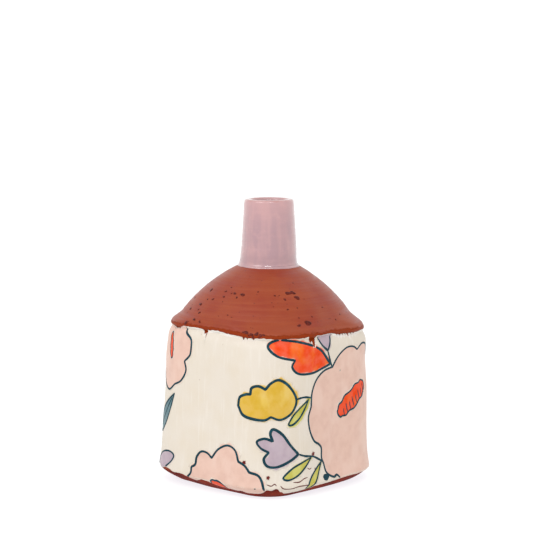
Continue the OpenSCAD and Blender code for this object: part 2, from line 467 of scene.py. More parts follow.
def slip_colour(paint):
    """Cream slip with faint clouds, brush drag and stray grains: its colour, drag and fine grain."""
    cloud = paint.noise(14, 21, detail=3)
    drag = paint.noise(3, 22, stretch=(0.5, 0.5, 6), detail=4)
    fine = paint.noise(0.7, 23, detail=2)
    base = paint.over(CREAM, CREAM_WARM, cloud, 0.35, 0.75)
    base = paint.over(base, CREAM_PALE, drag, 0.5, 0.75, 0.45)
    base = paint.mixed(paint.between(paint.dots(7.5, 24), 0.02, 0.055, 0.35, 0), base, CREAM_GRAIN)
    return base, drag, fine


def slip_paint():
    """The bare slip, whiter where its upper edge is torn."""
    paint = Paint("cream_slip", 0.45, specular=0.3)
    base, drag, fine = slip_colour(paint)
    torn = paint.maths("MULTIPLY", paint.attribute("torn"), paint.between(fine, 0.25, 0.45))
    paint.roughness(drag, 0.38, 0.52)
    return paint.finished(paint.mixed(torn, base, CREAM_TORN), (drag, 0.07), (fine, 0.035))


def wash_paint(name, colour, tone, seed):
    """Underglaze colour brushed on the slip: uneven, and thinning to bare slip at its edge."""
    paint = Paint("underglaze_" + name, 0.42, specular=WASH_GLOSS.get(name, 0.25))
    base, drag, fine = slip_colour(paint)
    pool = paint.noise(5, seed, detail=4, rough=0.6)
    patch = paint.noise(7, seed + 20, stretch=(1, 1, 1.8), detail=2)
    deep = paint.over(colour, shaded(colour, 0.93), pool, 0.38, 0.68)
    deep = paint.over(deep, tone, patch, 0.48, 0.66, 0.8)
    thin = paint.mixed(paint.between(pool, 0.3, 0.7, 0.1, 0), deep, base)
    paint.roughness(drag, 0.36, 0.5)
    return paint.finished(paint.mixed(paint.attribute("wash"), base, thin), (drag, 0.07), (fine, 0.035))


def line_paint():
    """The drawn lines: dark teal, a little thinner and paler where the brush ran dry."""
    paint = Paint("underglaze_line", 0.5, specular=0.12)
    run = paint.noise(2.2, 31, detail=3)
    return paint.finished(paint.over(LINE, LINE_THIN, run, 0.5, 0.75),
                          (run, 0.03), (paint.noise(0.4, 32), 0.015))


def glaze_paint():
    """Milky pink glaze over red clay: streaked downwards, partly as glaze runs and partly as painted
    reflections, deeper above the foot, pooled at it.
    """
    paint = Paint("pink_glaze", 0.3, specular=0.5, coat=1.0, coat_roughness=0.04)
    streak = paint.noise(5.0, 41, stretch=(1, 1, 7), detail=2)
    fine = paint.noise(1.6, 43, stretch=(1, 1, 5), detail=3)
    cloud = paint.noise(4, 42, detail=4)
    height = paint.maths("ADD", paint.height(), paint.maths("MULTIPLY", cloud, 3.0))
    # The downward streaks are partly runs in the glaze and partly painted reflections: light and dark
    # vertical bands on the glossy neck.
    base = paint.over(GLAZE, GLAZE_DEEP, streak, 0.4, 0.62)
    base = paint.over(base, GLAZE_DEEP, fine, 0.5, 0.75, 0.35)
    base = paint.over(base, GLAZE_PALE, cloud, 0.5, 0.8, 0.5)
    base = paint.over(base, GLAZE_PALE, height, SEAT_Z + 16, SEAT_Z + 31, 0.55)
    band = paint.maths("MULTIPLY", paint.between(height, SEAT_Z + 2.6, SEAT_Z + 4.2),
                       paint.between(height, SEAT_Z + 5, SEAT_Z + 9, 1, 0))
    base = paint.mixed(paint.maths("MULTIPLY", band, 0.5), base, shaded(GLAZE_DEEP, 0.9))
    base = paint.over(base, CLAY_PALE, height, VASE_H + 0.6, VASE_H + 1.8, 0.35)
    return paint.finished(base, (cloud, 0.1), (streak, 0.05))


def liner_paint():
    """Clear glaze over the red clay inside."""
    paint = Paint("clear_liner", 0.22, specular=0.5, coat=0.7, coat_roughness=0.08)
    cloud = paint.noise(6, 51)
    return paint.finished(paint.over(CLAY, CLAY_DARK, cloud, 0.35, 0.7), (cloud, 0.12))


def speck_paint():
    """Iron that has burned out of the clay as glossy, nearly black beads."""
    paint = Paint("iron_speck", 0.3, specular=0.12)
    cloud = paint.noise(0.6, 61)
    return paint.finished(paint.over(IRON, IRON_PALE, cloud, 0.35, 0.7), (cloud, 0.04))


TERRACOTTA = terracotta_paint()
BARE_CLAY = bare_clay_paint()
SLIP = slip_paint()
PINK_GLAZE = glaze_paint()
LINER = liner_paint()
SPECK = speck_paint()
DRAWN_LINE = line_paint()
WASH_PAINT = {name: wash_paint(name, *colours, seed)
              for seed, (name, colours) in enumerate(WASHES.items(), WASH_SEED)}
WASH_PAINT["chip"] = wash_paint("chip", CLAY_CHIPPED, CLAY_CHIPPED, 90)
WASH_PAINT["crack"] = wash_paint("crack", CLAY_DARK, CLAY_DARK, 91)


# ---- clay pieces

LIP_R = float(drum_reach(DRUM_H, -LIP_PROUD)[0])


def around(count):
    """Evenly spaced angles, once round."""
    return np.linspace(0, 2 * math.pi, count, endpoint=False)


def lathe(line, turn):
    """Rings from a line of (corner radius, side distance, height) rows."""
    corner, side, z = [part[:, None] for part in np.asarray(line, float).T]
    return ring_points(turn, soft_square(corner, side, turn), z)


def set_number(piece, name, values):
    """Stores one number per point on a mesh, for its material."""
    layer = piece.data.attributes.new(name, "FLOAT", "POINT")
    layer.data.foreach_set("value", np.asarray(values, np.float32).ravel())


def clay_hoop(name, rings, dark):
    """A closed terracotta piece; dark runs from 0 to 1, for all of it or point by point. Where it is high,
    the clay is painted a little darker and less glossy: partly the clay's own darker edge, partly painted
    shade under the lip.
    """
    piece = hoop(name, rings, TERRACOTTA)
    set_number(piece, "dark", np.broadcast_to(dark, rings.shape[:2]))
    return piece


def drum_row(z, inset=0.0):
    """The drum's outline at height z, moved in by inset, as a (corner, side, height) row."""
    corner, side = drum_reach(z, inset)
    return [float(corner), float(side), z]


def mitre_row(inset):
    """A row on the drum's top, which rises inwards."""
    corner, side, z = drum_row(DRUM_H, inset)
    return [corner, side, z + MITRE * inset / WALL_T]


def make_foot():
    """The floor disc, whose rounded bare edge shows below the slip."""
    turn = around(360)
    rows = []
    for radius in (2, 10, 20, 30, 36):
        rows.append([radius, radius * (0.98 - 0.15 * radius / 40), 0])
    for angle in np.linspace(0, math.pi / 2, 15):
        rows.append(drum_row(FLOOR_T * (1 - math.cos(angle))))
    rows += [[36, 31, FLOOR_T], [18, 16.5, FLOOR_T], [2, 1.9, FLOOR_T]]
    rings = lathe(rows, turn)
    edge = smooth(0.02, 1.2, rings[..., 2]) * (rings[..., 2] < FLOOR_T)
    rings[..., :2] *= (1 + edge * 0.004 * waves(turn, 5, 5))[..., None]
    piece = capped("foot_clay", rings, BARE_CLAY)
    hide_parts("floor_slab")


def coil_rows(count):
    """The hollow curve of the coil pressed into the corner between floor and wall."""
    rows = []
    for step in range(count + 1):
        angle = math.pi / 2 * step / count
        rows.append(drum_row(FLOOR_T + FLOOR_COIL_R * (1 - math.cos(angle)),
                             WALL_T + FLOOR_COIL_R * (1 - math.sin(angle))))
    return rows


def make_wall():
    """The drum's wall, mitred at its top."""
    rows = [drum_row(z) for z in np.linspace(FLOOR_T, DRUM_H, 44)]
    rows += [mitre_row(inset) for inset in (0.6, 1.5, 3, 4.4, WALL_T)]
    rows += [drum_row(z, WALL_T) for z in np.linspace(DRUM_H - SHOULDER_COIL_H, FLOOR_T, 12)]
    # The wall shows only just below the lip, and there it is painted a little darker: partly its own colour,
    # partly painted shade.
    piece = clay_hoop("wall_clay", lathe(rows, around(320)), 0.75)
    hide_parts("wall_slab")


def make_floor_coil():
    """The coil in the corner between floor and wall."""
    rings = lathe([drum_row(FLOOR_T, WALL_T)] + coil_rows(8)[::-1], around(160))
    piece = clay_hoop("floor_seam_coil_clay", rings, 0.2)
    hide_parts("floor_seam_coil")


def bulged(low, high, bulge, steps):
    """(radius, height) points from low to high, bowed out by bulge at the middle."""
    low, high = np.array(low), np.array(high)
    way = (high - low) / np.linalg.norm(high - low)
    out = np.array([way[1], -way[0]])
    return [low + (high - low) * share + 4 * bulge * share * (1 - share) * out
            for share in np.linspace(0, 1, steps)]


def shoulder_arc(steps):
    """The shoulder's outside from its cove up to the neck's seat, as (corner, side, height) rows."""
    line = bulged((LIP_R - 5, DRUM_H + COVE_H), (SEAT_R, SEAT_Z), SHOULDER_BULGE, steps)
    shares = np.linspace(0, 1, steps)
    return [[radius, radius * (0.95 + 0.035 * share), z] for (radius, z), share in zip(line, shares)]


def shoulder_under(steps):
    """The shoulder's underside, from the mitre up to the neck."""
    low = (DRUM_TOP_R - WALL_T - 3, DRUM_H + COVE_H - SHOULDER_T)
    rows = []
    for radius, z in bulged(low, (CLAY_BORE_R + 6, TOP_LOWER_Z - 1.2), SHOULDER_BULGE, steps):
        square = 0.87 + 0.115 * (z - DRUM_H) / (TOP_LOWER_Z - DRUM_H)
        rows.append([radius, radius * square, z])
    return rows


def make_shoulder_coil():
    """The coil over the seam between wall and shoulder."""
    rows = [drum_row(DRUM_H - SHOULDER_COIL_H, WALL_T), mitre_row(WALL_T), shoulder_under(2)[0]]
    piece = clay_hoop("shoulder_seam_coil_clay", lathe(rows, around(160)), 0.2)
    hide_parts("shoulder_seam_coil")


def shoulder_outside():
    """A dense line up the shoulder's outside, with the lip below."""
    lip = [drum_row(DRUM_H + rise) for rise in LIP_RISE]
    cove = [LIP_R - 2.7, (LIP_R - 2.7) * (TOP_SQUARENESS + 0.03), DRUM_H + 4.8]
    return smooth_line(lip + [cove] + shoulder_arc(12), 9)


SHOULDER_LINE = shoulder_outside()
# The rings that throwing leaves, as (share of the depth, pitch, sway, sways round, start).
THROWING_RINGS = ((0.55, 2.7, 0.8, 2, 0), (0.3, 1.15, 1.1, 3, 1), (0.5, 7.1, 0.5, 1, 0))
RING_CLIMB = 0.9
LIP_WAVE_OUT = 0.28
LIP_WAVE_UP = 0.22


def throwing_rings(turn, z):
    """Relief of a thrown wall: close, uneven rings that climb a little as they go round."""
    climb = z + RING_CLIMB * turn / (2 * math.pi)
    rings = 0
    for share, pitch, sway, times, start in THROWING_RINGS:
        rings = rings + share * np.sin(2 * math.pi * climb / pitch + sway * np.sin(times * turn + start))
    return THROW_DEPTH * rings


def make_shoulder():
    """The thrown shoulder with its lip, its throwing rings and its underside."""
    turn = around(440)
    count = len(SHOULDER_LINE)
    rows = [list(row) for row in SHOULDER_LINE]
    rows += [[SEAT_R - 2, SEAT_R - 2.2, SEAT_Z], [CLAY_BORE_R, CLAY_BORE_R, SEAT_Z]]
    rows += [[CLAY_BORE_R, CLAY_BORE_R, TOP_LOWER_Z], NECK_UNDER]
    rows += shoulder_under(14)[::-1] + [mitre_row(WALL_T)]
    rings = lathe(rows, turn)
    z = rings[:count, :, 2]
    body = smooth(DRUM_H + 4, DRUM_H + 8, z) * (1 - smooth(SEAT_Z - 2.5, SEAT_Z - 0.8, z))
    above = smooth(DRUM_H, DRUM_H + 1, z)
    radius = np.hypot(rings[:count, :, 0], rings[:count, :, 1])
    relief = throwing_rings(turn, z) * body
    relief = relief + LIP_WAVE_OUT * waves(turn, 8, 4) * above * (1 - smooth(DRUM_H + 4, DRUM_H + 9, z))
    rings[:count, :, :2] *= (1 + relief / radius)[..., None]
    rise = LIP_WAVE_UP * waves(turn, 9, 5) * (1 - smooth(DRUM_H + 2, DRUM_H + 6, z)) * above
    rings[:count, :, 2] += rise
    dark = np.zeros(rings.shape[:2])
    # The lip's roll is marked for the darker paint: partly the clay's own darker edge, partly painted shade
    # under the lip.
    dark[:count] = 1 - smooth(DRUM_H + 0.4, DRUM_H + 4.4, z)
    piece = clay_hoop("shoulder_clay", rings, dark)
    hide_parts("shoulder_dome")


def neck_radius(z):
    """The neck's bare clay outside."""
    return NECK_FOOT_R + (NECK_RIM_R - NECK_FOOT_R) * ((z - SEAT_Z) / (NECK_TOP_Z - SEAT_Z))


def rim_curve(grow, steps):
    """The rounded rim from inside to outside, as (radius, height) rows."""
    inner, outer = CLAY_BORE_R + RIM_ROUND, neck_radius(NECK_TOP_Z) - RIM_ROUND
    r = RIM_ROUND + grow
    rows = []
    for middle, start in ((inner, math.pi), (outer, math.pi / 2)):
        for angle in np.linspace(start, start - math.pi / 2, steps):
            rows.append([middle + r * math.cos(angle), NECK_TOP_Z - RIM_ROUND + r * math.sin(angle)])
    return rows


def flare_curve(steps):
    """The hollow flare of the neck's foot from the neck down to the seat."""
    return bulged((neck_radius(COIL_TOP_Z), COIL_TOP_Z), (SEAT_R - 0.6, SEAT_Z), COIL_BULGE, steps)


def round_rows(rows):
    """Rows for lathe() that are round, from (radius, height) pairs."""
    return [[radius, radius, z] for radius, z in rows]


def make_neck():
    """The thrown neck, and the coil that gives its foot its flare."""
    turn = around(128)
    tube = [[CLAY_BORE_R, SEAT_Z]] + rim_curve(0, 6) + [[NECK_FOOT_R, SEAT_Z]]
    piece = clay_hoop("neck_clay", lathe(round_rows(tube), turn), 0.3)
    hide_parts("neck_tube")
    coil = flare_curve(8) + [[NECK_FOOT_R, SEAT_Z]]
    piece = clay_hoop("neck_foot_coil_clay", lathe(round_rows(coil), turn), 0.3)
    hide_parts("neck_foot_coil")


def shoulder_z(radius):
    """Height of the shoulder's outside near the neck, at a distance from the neck's axis."""
    rows = np.array(shoulder_arc(40))
    return np.interp(-radius, -rows[:, 0], rows[:, 2])


def make_neck_glaze():
    """The pink glaze down the bore, over the rim and down to its wavy skirt."""
    turn = around(256)
    edge = 0.3 * waves(turn, 14, 4) + 0.1 * waves(turn, 15, 6) - 0.35 * np.maximum(0, -np.cos(turn))
    inside = [[BORE_R, z] for z in np.linspace(TOP_LOWER_Z, VASE_H - 2, 16)] + rim_curve(GLAZE_T, 8)
    neck = [[neck_radius(z) + GLAZE_T, z] for z in np.linspace(VASE_H - 2.2, COIL_TOP_Z + 0.8, 60)]
    flare = [[radius + GLAZE_T + 0.1, z + 0.05] for radius, z in flare_curve(12)[1:-1]]
    outer = lathe(round_rows(inside + neck + flare), turn)
    first = len(inside)
    z = outer[first:, :, 2]
    swell = throwing_rings(turn, z) * smooth(COIL_TOP_Z, COIL_TOP_Z + 4, z)
    swell += 0.1 * waves(turn, 16, 2) * smooth(COIL_TOP_Z, COIL_TOP_Z + 6, z)
    swell += 0.14 * (1 + waves(turn, 17, 3)) * (1 - smooth(SEAT_Z + 1, SEAT_Z + 4, z))
    radius = np.hypot(outer[first:, :, 0], outer[first:, :, 1])
    outer[first:, :, :2] *= (1 + swell / radius)[..., None]
    skirt = []
    for out, lift in ((-0.45, 0.66), (-0.1, 0.56), (0.2, 0.34), (0.32, 0.08), (0.28, -SUNK)):
        reach = SEAT_R + 0.15 + out + edge
        skirt.append(ring_points(turn, reach, shoulder_z(reach) + lift))
    under = [[SEAT_R - 1.2, SEAT_Z - 0.05]] + flare_curve(6)[::-1][1:] + rim_curve(0, 4)[::-1]
    under = lathe(round_rows(under + [[CLAY_BORE_R, TOP_LOWER_Z]]), turn)
    rings = np.concatenate([outer, np.array(skirt), under])
    piece = hoop("neck_pink_glaze", rings, PINK_GLAZE)
    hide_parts("neck_glaze")


def make_liner():
    """The clear glaze over the inside, below the neck."""
    line = [[18, 16.5, FLOOR_T], [33, 28, FLOOR_T]] + coil_rows(6)
    line += [drum_row(z, WALL_T) for z in (14, 24, 36, 48, DRUM_H - SHOULDER_COIL_H)]
    line += shoulder_under(10) + [NECK_UNDER]
    clay = np.array(line, float)
    glass = clay.copy()
    glass[:, :2] -= LINER_T
    glass[:, 2] += np.where(clay[:, 2] < 12, LINER_T, np.where(clay[:, 2] > DRUM_H, -0.25, 0))
    rows = np.vstack([[[1, 1, FLOOR_T]], clay, glass[::-1], [[1, 1, FLOOR_T + LINER_T]]])
    piece = capped("inner_liner_glaze", lathe(rows, around(160)), LINER)
    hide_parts("liner_glaze")


make_foot()
make_wall()
make_floor_coil()
make_shoulder_coil()
make_shoulder()
make_neck()
make_neck_glaze()
make_liner()


# ---- slip sheet

def measured_round():
    """Angles once round the drum, and how far along the slip each lies, measured at one height."""
    turns = np.linspace(FRONT, FRONT + 2 * math.pi, 8001)
    radii = drum_radius(turns, GIRTH_Z, SLIP_T)
    steps = np.hypot(np.diff(radii * np.cos(turns)), np.diff(radii * np.sin(turns)))
    return turns, np.concatenate([[0], np.cumsum(steps)])


TURNS, ALONGS = measured_round()
GIRTH = ALONGS[-1]


def turn_of(along):
    """The angle at a distance round the drum."""
    return np.interp(np.mod(along, GIRTH), ALONGS, TURNS)


# Nicks in the slip's upper and lower edges, as (along, width, depth).
TOP_NICKS = ((19.2, 5.6, 2.2), (19.8, 2.4, 2.8), (17.6, 1.8, 1.6), (-36.3, 1.1, 3.4), (-37.5, 2.6, 1.7),
             (44, 1.8, 1.7), (42.4, 0.9, 1.1), (46.4, 0.9, 1.2), (48.6, 0.8, 0.7), (40.5, 0.9, 0.8),
             (38.2, 1, 0.9), (36.4, 0.7, 0.6), (43, 30, 0.9), (-14.5, 1.4, 1.1), (-12.6, 0.8, 0.8),
             (-9.5, 1.2, 0.6), (-57, 16, 1.4), (96, 3, 2.2), (-98, 1.6, 2.8), (128, 1.2, 1.2))
FOOT_NICKS = ((1, 12, 2.3), (2.6, 4, 0.8), (-1.6, 3, 0.6), (5.2, 2, 0.4), (-13, 5, 0.6), (-33, 14, 1.5),
              (-47, 12, 1.4), (-56, 15, 2.1), (-66, 13, 1.6), (-63.2, 2.4, 0.5), (-68.8, 3, 0.5),
              (22, 4, 0.4), (32, 56, 1.1), (75, 5, 1.1), (-80, 3.5, 1), (120, 6, 1.2))
SLIP_COLUMNS = 900
MIDDLE_ROWS = 40
MIDDLE_GAP = 5
THIN_SHARE = 0.45
THIN_SPAN = 0.9
# How far the rows near an edge of the slip lie from it.
NEAR_EDGE = (0, 0.04, 0.1, 0.2, 0.32, 0.46, 0.62, 0.8, 1, 1.2, 1.4, 1.65, 1.9, 2.2, 2.6, 3.1, 3.7, 4.4)


def nicked(edge, along, nicks, way):
    """The edge, moved at each nick by its depth, up where way is 1 and down where it is -1."""
    for place, width, depth in nicks:
        off = np.abs((along - place + GIRTH / 2) % GIRTH - GIRTH / 2)
        edge = edge + way * depth * (1 - smooth(0.08 * width, 0.5 * width, off))
    return edge


def slip_top(along):
    """Height of the sheet's torn upper edge."""
    turn = 2 * math.pi * along / GIRTH
    edge = DRUM_H + 1 + 0.5 * waves(turn, 31, 5) + 0.42 * waves(11 * turn, 32, 4)
    return np.minimum(nicked(edge, along, TOP_NICKS, -1), DRUM_H + 2)


def slip_bottom(along):
    """Height of its torn lower edge, on the rounded edge of the foot."""
    turn = 2 * math.pi * along / GIRTH
    edge = 3.4 - 1.2 * np.cos(2 * turn) + 0.3 * waves(turn, 33, 4) + 0.25 * waves(9 * turn, 34, 4)
    return np.maximum(nicked(edge, along, FOOT_NICKS, 1), 0.9)


def slip_thickness(along, z):
    """The slip thins out towards its torn edges."""
    from_edge = np.minimum(z - slip_bottom(along), slip_top(along) - z)
    return SLIP_T * (THIN_SHARE + (1 - THIN_SHARE) * np.sqrt(smooth(0, THIN_SPAN, from_edge)))


def make_slip():
    """The slip sheet round the drum, with its torn edges."""
    along = np.linspace(0, GIRTH, SLIP_COLUMNS, endpoint=False)
    turn = turn_of(along)
    low, high = slip_bottom(along), slip_top(along)
    heights = [low + rise for rise in NEAR_EDGE]
    middle = high - low - 2 * MIDDLE_GAP
    heights += [low + MIDDLE_GAP + middle * share for share in np.linspace(0, 1, MIDDLE_ROWS)]
    heights += [high - drop for drop in NEAR_EDGE[::-1]]
    rows = [ring_points(turn, drum_radius(turn, z, slip_thickness(along, z)), z) for z in heights]
    last = len(heights) - len(NEAR_EDGE)
    for z in heights[:last:-1] + heights[last:0:-4] + [low]:
        rows.append(ring_points(turn, drum_radius(turn, z, -SUNK), z))
    rings = np.array(rows)
    piece = hoop("slip_skin", rings, SLIP)
    torn = np.zeros(rings.shape[:2])
    bare = smooth(-0.2, 0.4, waves(turn, 36, 5))
    for row, z in enumerate(heights):
        torn[row] = np.clip(1.6 - (high - z) / 0.8, 0, 1) * (0.35 + 0.65 * bare)
    torn[len(heights)] = 1
    set_number(piece, "torn", torn)
    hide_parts("slip_sheet")


make_slip()


# ---- drawing on the slip

def on_slip(flat, lift):
    """Points above the slip's outside, from (along, height) pairs."""
    along, z = flat[..., 0], flat[..., 1]
    turn = turn_of(along)
    return hand_made(ring_points(turn, drum_radius(turn, z, slip_thickness(along, z) + lift), z))


def stroke(*points):
    """A smooth line for one stroke of the brush."""
    return smooth_line(points, 12)


def petals(start, *strokes):
    """A closed outline of smooth strokes that meet in sharp corners.

    Each stroke is given without its first point, and the last one without its end at the start.
    """
    parts = []
    corner = start
    for points in (*strokes[:-1], [*strokes[-1], start]):
        parts.append(stroke(corner, *points)[:-1])
        corner = points[-1]
    return np.vstack(parts)


def blossom(centre, size, lobes, depth, tilt=0.0, seed=0):
    """A round flower with scalloped, slightly uneven petals."""
    turn = around(260)
    rng = np.random.default_rng(seed)
    skew = 0
    for times in (1, 2, 3):
        skew = skew + rng.uniform(-0.16, 0.16) * np.sin(times * turn + rng.uniform(0, 6))
    reach = 1 - depth * (1 - np.abs(np.cos(lobes * (turn + skew) / 2)) ** 0.7)
    reach = reach * (1 + 0.06 * waves(turn, seed + 1, 2))
    across, up = reach * np.cos(turn) * size[0], reach * np.sin(turn) * size[1]
    lean = math.radians(tilt)
    return np.stack([centre[0] + across * math.cos(lean) - up * math.sin(lean),
                     centre[1] + across * math.sin(lean) + up * math.cos(lean)], axis=-1)


def placed(local, base, head, width):
    """Moves an outline drawn from (0, 0) to (1, 0) so that it runs from base to head."""
    base, head = np.array(base, float), np.array(head, float)
    way = head - base
    side = np.array([-way[1], way[0]]) / np.linalg.norm(way)
    return base + local[:, :1] * way + local[:, 1:] * side * width


# Outlines that run from (0, 0) to (1, 0), for placed(): a leaf that is pointed at its stem and blunt
# at its tip, a three-lobed bud that opens away from its stem, and a bud of two unequal lobes.
LEAF = petals((0, 0), [(0.32, 0.34), (0.62, 0.5), (0.88, 0.37), (1, 0.06)],
        [(0.97, -0.22), (0.66, -0.44), (0.32, -0.28)])
TULIP = petals((0, 0), [(0.25, 0.3), (0.62, 0.47), (0.93, 0.5), (1, 0.38), (0.84, 0.22), (0.7, 0.16)],
        [(0.86, 0.15), (1, 0.08), (1, -0.08), (0.86, -0.15), (0.7, -0.16)],
        [(0.84, -0.22), (1, -0.38), (0.93, -0.5), (0.62, -0.47), (0.25, -0.3)])
LOBED_BUD = petals((0, 0), [(0.27, -0.42), (0.58, -0.56), (0.88, -0.5), (1, -0.24), (0.86, 0), (0.62, 0.03)],
        [(0.63, 0.26), (0.52, 0.44), (0.3, 0.36), (0.12, 0.16)])


def stamen(base, tip, width):
    """A long, slightly wavy capsule."""
    turn = around(90)
    ripple = 1 + 0.1 * np.sin(11 * turn + 0.5)
    across = 0.5 + 0.5 * np.sign(np.cos(turn)) * np.abs(np.cos(turn)) ** 0.8
    up = 0.5 * np.sign(np.sin(turn)) * np.abs(np.sin(turn)) ** 0.8 * ripple
    return placed(np.stack([across, up], axis=-1), base, tip, width)


def respaced(line, closed):
    """The same line with evenly spaced points."""
    if closed:
        line = np.vstack([line, line[:1]])
    length = np.concatenate([[0], np.cumsum(np.linalg.norm(np.diff(line, axis=0), axis=1))])
    count = max(4, int(length[-1] / LINE_STEP))
    even = np.linspace(0, length[-1], count, endpoint=not closed)
    return np.stack([np.interp(even, length, line[:, 0]), np.interp(even, length, line[:, 1])], axis=-1)


def runs_on_sheet(line, closed):
    """The stretches of a line that lie on the slip sheet, each with whether it is still closed."""
    along, z = line.T
    inside = (z > slip_bottom(along) + LINE_MARGIN) & (z < slip_top(along) - LINE_MARGIN)
    if inside.all():
        return [(line, closed)]
    if closed:
        first = int(np.argmin(inside))
        line, inside = np.roll(line, -first, axis=0), np.roll(inside, -first)
    runs = []
    start = None
    for i, is_inside in enumerate([*inside, False]):
        if is_inside and start is None:
            start = i
        if not is_inside and start is not None:
            if i - start > 5:
                runs.append((line[start:i], False))
            start = None
    return runs


LINE_STEP = 0.32
LINE_MARGIN = 0.25
PATCH_MARGIN = 0.15
LEAST_CELL_H = 0.02
# Section of a brush line, as (share of its width, millimetres above the slip).
BRUSH = ((-0.5, -SUNK), (-0.4, 0.045), (-0.14, 0.085), (0.14, 0.085), (0.4, 0.045), (0.5, -SUNK))


class Shape:
    """Points, faces and one number per point, gathered into one closed piece."""

    def __init__(self):
        self.points, self.faces, self.numbers, self.count = [], [], [], 0

    def add(self, points, faces, numbers=0.0):
        self.points.append(points)
        self.faces += [[corner + self.count for corner in face] for face in faces]
        self.numbers.append(np.broadcast_to(numbers, len(points)))
        self.count += len(points)

    def build(self, name, material, slot, number=None):
        piece = add_object(name, np.vstack(self.points), self.faces, material)
        if number:
            set_number(piece, number, np.concatenate(self.numbers))
        return piece


def draw_line(shape, line, width, seed, closed=False, lift=0.05):
    """Adds a brush line of uneven width with a rounded top, kept to the slip sheet."""
    for run, is_closed in runs_on_sheet(respaced(line, closed), closed):
        count = len(run)
        if is_closed:
            ahead = np.roll(run, -1, axis=0) - np.roll(run, 1, axis=0)
        else:
            ahead = np.gradient(run, axis=0)
        side = np.stack([-ahead[:, 1], ahead[:, 0]], axis=-1)
        side /= np.maximum(np.linalg.norm(side, axis=1, keepdims=True), 1e-6)
        share = np.arange(count) / count
        press = width * (1 + 0.2 * waves(2 * math.pi * share, seed, 4))
        if not is_closed:
            end = np.minimum(np.arange(count), np.arange(count)[::-1])
            press = press * (0.35 + 0.65 * np.sqrt(np.minimum(1, end / 4)))
        rings = []
        for offset, rise in BRUSH:
            rings.append(on_slip(run + side * (press * offset)[:, None], lift + rise))
        points = np.stack(rings, axis=1)
        faces = strip_faces(count, len(BRUSH), is_closed)
        if not is_closed:
            faces += end_faces(count, len(BRUSH))
        shape.add(points.reshape(-1, 3), [face[::-1] for face in faces], 1.0)


def signed_distance(flat, outline):
    """Distance of points from a closed outline in millimetres, positive inside it."""
    nearest = np.full(len(flat), 1e9)
    inside = np.zeros(len(flat), bool)
    for start, end in zip(outline, np.roll(outline, -1, axis=0)):
        way = end - start
        off = flat - start
        share = np.clip((off @ way) / max(way @ way, 1e-9), 0, 1)
        nearest = np.minimum(nearest, np.hypot(*(off - share[:, None] * way).T))
        if start[1] != end[1]:
            spans = (start[1] > flat[:, 1]) != (end[1] > flat[:, 1])
            crossing = start[0] + way[0] * (flat[:, 1] - start[1]) / way[1]
            inside ^= spans & (flat[:, 0] < crossing)
    return np.where(inside, nearest, -nearest)


def cell_corners(grid):
    """The values at the four corners of each cell of a grid, anticlockwise."""
    return grid[:-1, :-1], grid[:-1, 1:], grid[1:, 1:], grid[1:, :-1]


def paint_patch(shape, outline, lift, shift=(0, 0), spread=0.25, ragged=0.3, soft=0.28, cell=0.45):
    """Adds a thin closed patch of colour over an outline, kept to the slip sheet."""
    outline = outline + np.array(shift)
    margin = spread + ragged + soft + cell
    low, high = outline.min(axis=0) - margin, outline.max(axis=0) + margin
    counts = np.ceil((high - low) / cell).astype(int) + 1
    along, z = np.meshgrid(low[0] + cell * np.arange(counts[0]), low[1] + cell * np.arange(counts[1]))
    z = np.clip(z, slip_bottom(along) + PATCH_MARGIN, slip_top(along) - PATCH_MARGIN)
    flat = np.stack([along, z], axis=-1)
    distance = signed_distance(flat.reshape(-1, 2), outline).reshape(z.shape)
    drift = np.sin(0.55 * along + 0.9 * z + 1.3) * np.sin(0.8 * along - 0.5 * z)
    drift = drift + 0.5 * np.sin(1.9 * along + 0.7) * np.sin(1.7 * z + 0.4)
    strength = smooth(-soft, soft, distance + spread + ragged * drift)
    a, b, c, d = cell_corners(z)
    keep = np.any(cell_corners(strength > 0.001), axis=0)
    keep &= (d - a > LEAST_CELL_H) & (c - b > LEAST_CELL_H)
    used = np.zeros(z.shape, bool)
    for corner in cell_corners(used):
        corner |= keep
    count = int(used.sum())
    index = np.full(z.shape, -1)
    index[used] = np.arange(count)
    corners = cell_corners(index)
    top = np.stack([corner[keep] for corner in corners], axis=-1)
    faces = [top, top[:, ::-1] + count]
    fenced = np.pad(keep, 1)
    beyond = fenced[:-2, 1:-1], fenced[1:-1, 2:], fenced[2:, 1:-1], fenced[1:-1, :-2]
    for side in range(4):
        border = keep & ~beyond[side]
        one, two = corners[side][border], corners[(side + 1) % 4][border]
        faces.append(np.stack([one, one + count, two + count, two], axis=-1))
    points = np.vstack([on_slip(flat[used], lift), on_slip(flat[used], -SUNK)])
    shape.add(points, np.vstack(faces).tolist(), np.tile(strength[used], 2))


OUTLINE_SEED, STEM_SEED, CHIP_SEED, CRACK_SEED = 100, 200, 300, 400
washes = {name: Shape() for name in WASHES}
lines = Shape()
line_numbers = itertools.count(1)


def draw(outline, colour, width=1.15, shift=(0.3, -0.2), lift=0.03, spread=0.25, ragged=0.3):
    """Draws one closed motif, and brushes its colour inside."""
    paint_patch(washes[colour], outline, lift, shift, spread, ragged)
    draw_line(lines, outline, width, OUTLINE_SEED + next(line_numbers), closed=True)


def stem(*points, width=0.95):
    """Draws one open line."""
    draw_line(lines, stroke(*points), width, STEM_SEED + next(line_numbers))


def green_leaf(base, tip, width, shift=(0.5, 0.2), spread=0.25):
    """A leaf whose green may run past its line."""
    draw(placed(LEAF, base, tip, width), "green", 0.95, shift=shift, spread=spread)


def teal_leaf(base, tip, width):
    """A leaf filled with teal right up to its line."""
    draw(placed(LEAF, base, tip, width), "teal", 0.9, shift=(0.1, 0.1), spread=0.1, ragged=0.15)


def orange_bud(base, head, width, shift=(0.2, 0.3)):
    """A two-lobed orange bud."""
    draw(placed(LOBED_BUD, base, head, width), "orange", 1.2, shift=shift)


def plain_stamen(base, tip, width):
    """A slim orange stamen, over its flower's own wash."""
    draw(stamen(base, tip, width), "orange", 0.8, lift=0.06, spread=0.05, ragged=0.1)


